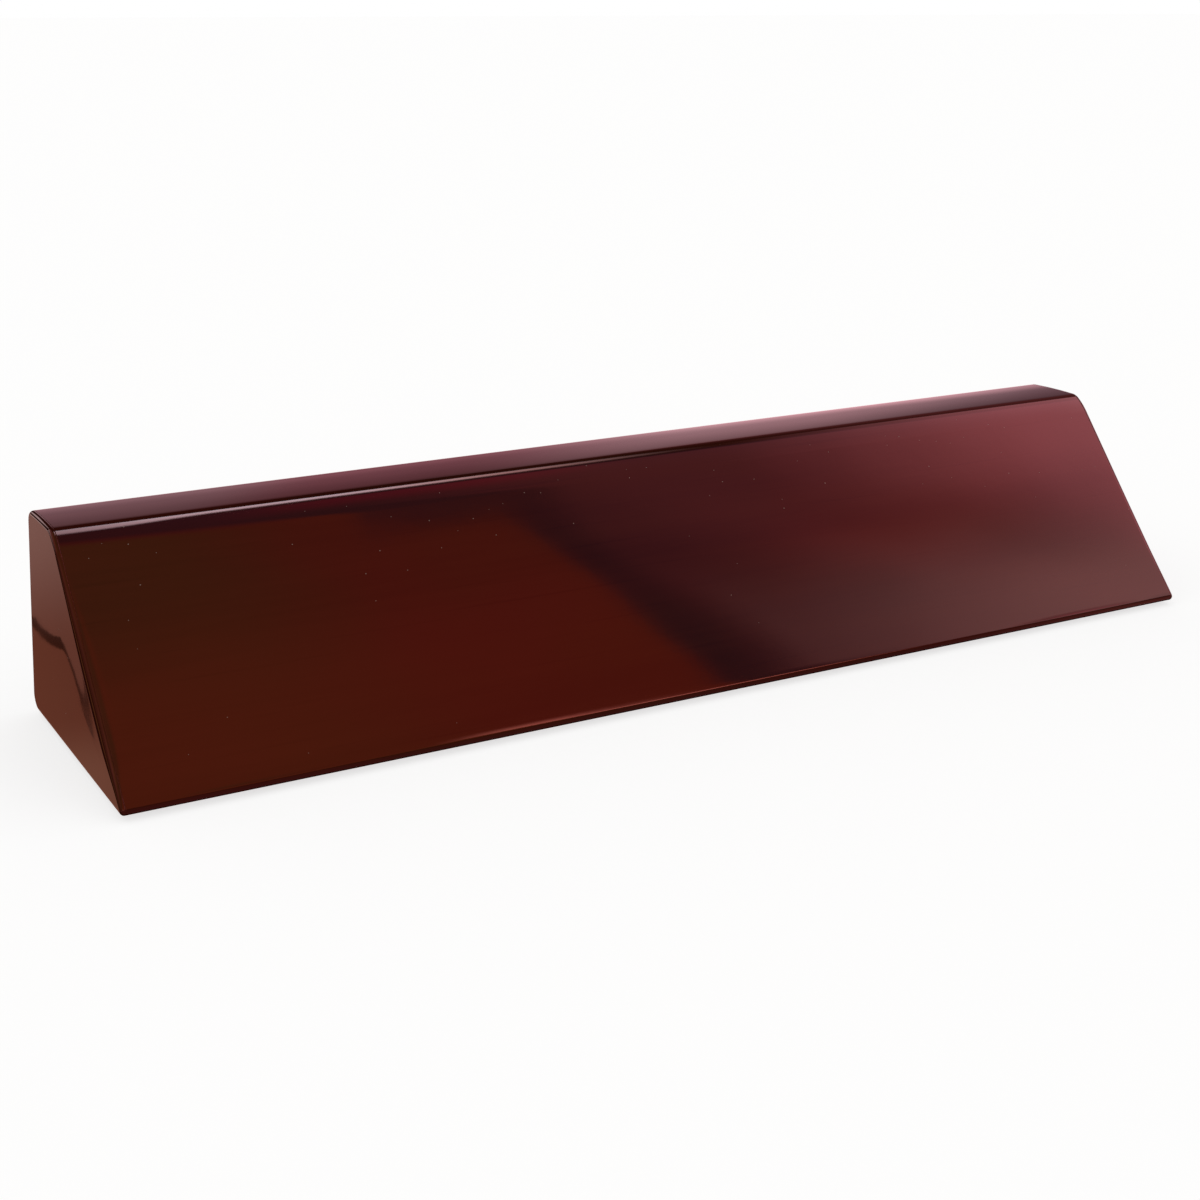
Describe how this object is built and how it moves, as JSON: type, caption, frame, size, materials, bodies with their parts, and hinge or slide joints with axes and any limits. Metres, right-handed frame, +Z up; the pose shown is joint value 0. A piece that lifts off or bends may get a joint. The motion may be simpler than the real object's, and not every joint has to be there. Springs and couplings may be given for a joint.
{
  "type": "desk nameplate block",
  "caption": "Long wedge-shaped desk nameplate block with a sloping display face, a narrow flat top, eased edges and a felt base, in gloss rosewood.",
  "frame": {"origin": "middle of the footprint, on the surface that the felt base stands on", "axes": "+X along the length to the reader's right, +Y from the sloping display face to the back, +Z up"},
  "size_m": [0.2666, 0.066, 0.0471],
  "materials": {
    "gloss_rosewood": "dark red-brown rosewood under thick polished clear lacquer, mirror gloss",
    "core_board": "plain sanded fibreboard, hidden",
    "balancing_sheet": "plain balancing veneer, sealed dark, matt",
    "felt": "short pressed felt, matt black"
  },
  "bodies": {
    "root": {"core_lower_board": "core_board", "core_middle_board": "core_board", "core_upper_board": "core_board", "wrapped_veneer": "gloss_rosewood", "left_end_veneer": "gloss_rosewood", "right_end_veneer": "gloss_rosewood", "underside_sheet": "balancing_sheet", "felt_base": "felt"}
  },
  "joints": []
}
